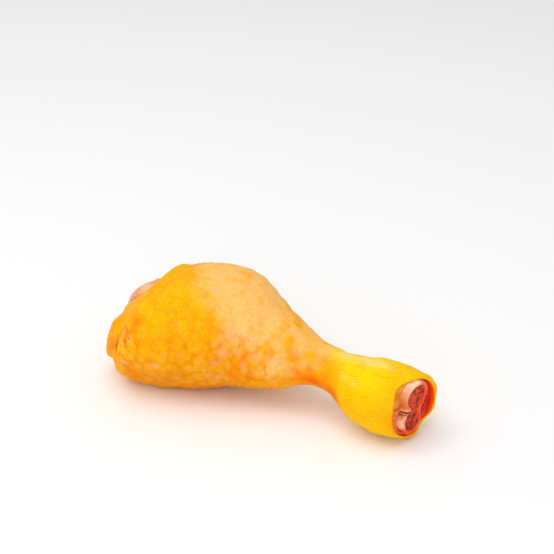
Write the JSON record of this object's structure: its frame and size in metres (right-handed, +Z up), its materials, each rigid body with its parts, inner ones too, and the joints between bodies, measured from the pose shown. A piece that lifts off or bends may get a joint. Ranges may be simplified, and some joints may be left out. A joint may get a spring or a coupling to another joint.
{
  "type": "chicken drumstick",
  "caption": "Raw chicken drumstick with yellow skin: plump knee end with the bone's round head showing, narrow neck, and a cut ankle with red bone ends.",
  "frame": {"origin": "centre of the bounding box in plan, on the floor that the drumstick lies on", "axes": "+X from the knee end to the cut ankle, +Y to the far side, +Z up"},
  "size_m": [0.1311, 0.0559, 0.0485],
  "materials": {
    "skin": "moist yellow skin, slightly glossy",
    "flesh": "moist red flesh",
    "bone": "moist pale pink cartilage over bone",
    "core": "dark red spongy bone"
  },
  "bodies": {
    "root": {"skin": "skin", "flesh": "flesh", "bone": "bone", "core": "core"}
  },
  "joints": []
}
